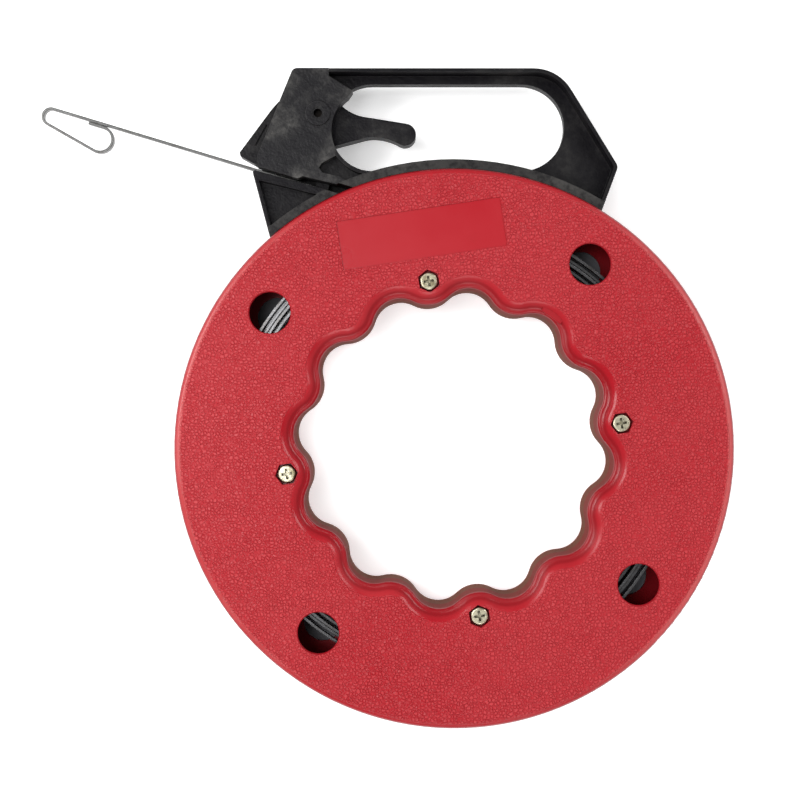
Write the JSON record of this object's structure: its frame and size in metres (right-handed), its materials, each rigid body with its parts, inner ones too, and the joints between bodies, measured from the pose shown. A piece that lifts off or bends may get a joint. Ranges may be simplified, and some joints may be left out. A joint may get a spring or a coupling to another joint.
{
  "type": "fish tape reel",
  "caption": "Electrician's fish tape reel: red pebbled round case with a scalloped hand hole, black D-grip handle with a squeeze lever, and a flat steel tape ending in a bent hook",
  "frame": {"origin": "On the case's turning axis, at the rear face of the case (the face the reel lies on); +Z is the case's turning axis towards the front face with the screw heads.", "axes": "+X runs from the nose where the tape leaves towards the far side of the grip, +Y runs from the case's centre up to the grip bar, +Z out of the front face."},
  "size_m": [0.376, 0.3553, 0.038],
  "materials": {
    "red_case": "pebbled red moulding",
    "black_handle": "satin black moulding, dusty from use",
    "black_lever": "satin black moulding",
    "tape_steel": "dull flat spring steel",
    "zinc_screw": "zinc plated",
    "bright_steel": "plain turned steel",
    "bush_brass": "plain turned brass",
    "shoe_rubber": "hard rubber"
  },
  "bodies": {
    "handle": {"handle_frame": "black_handle", "lever_cover": "black_handle", "cover_screws": "zinc_screw", "wear_plate": "bright_steel", "pivot_washers": "bright_steel", "lever_pivot_pin": "bright_steel", "lever_spring": "bright_steel"},
    "reel": {"front_case_shell": "red_case", "rear_case_shell": "red_case", "case_screws": "zinc_screw", "case_washers": "zinc_screw", "case_nuts": "zinc_screw", "tape_coil": "tape_steel", "tape_outer_turns": "tape_steel", "tape_inner_end": "tape_steel", "tape_anchor_clip": "bright_steel", "tape_anchor_screw": "zinc_screw"},
    "lever": {"brake_lever": "black_lever", "brake_shoe": "shoe_rubber", "lever_bush": "bush_brass"},
    "tape": {"tape_leader": "tape_steel"}
  },
  "joints": [
    {"name": "reel_spin", "type": "hinge", "parent": "handle", "child": "reel", "pos_m": [0, 0, 0.019], "axis": [0, 0, 1], "continuous": true},
    {"name": "tape_feed", "type": "slide", "parent": "handle", "child": "tape", "axis": [-0.9573, 0.289, 0], "range_m": [-0.072, 0.085]},
    {"name": "brake_lever", "type": "hinge", "parent": "handle", "child": "lever", "pos_m": [-0.0732, 0.1804, 0.019], "axis": [0, 0, 1], "range_deg": [0, 3.5], "stiffness_Nm_per_rad": 4, "springref_deg": -1.15}
  ],
  "couplings": [
    {"joint": "reel_spin", "follows": "tape_feed", "rad_per_m": 8.7566}
  ]
}
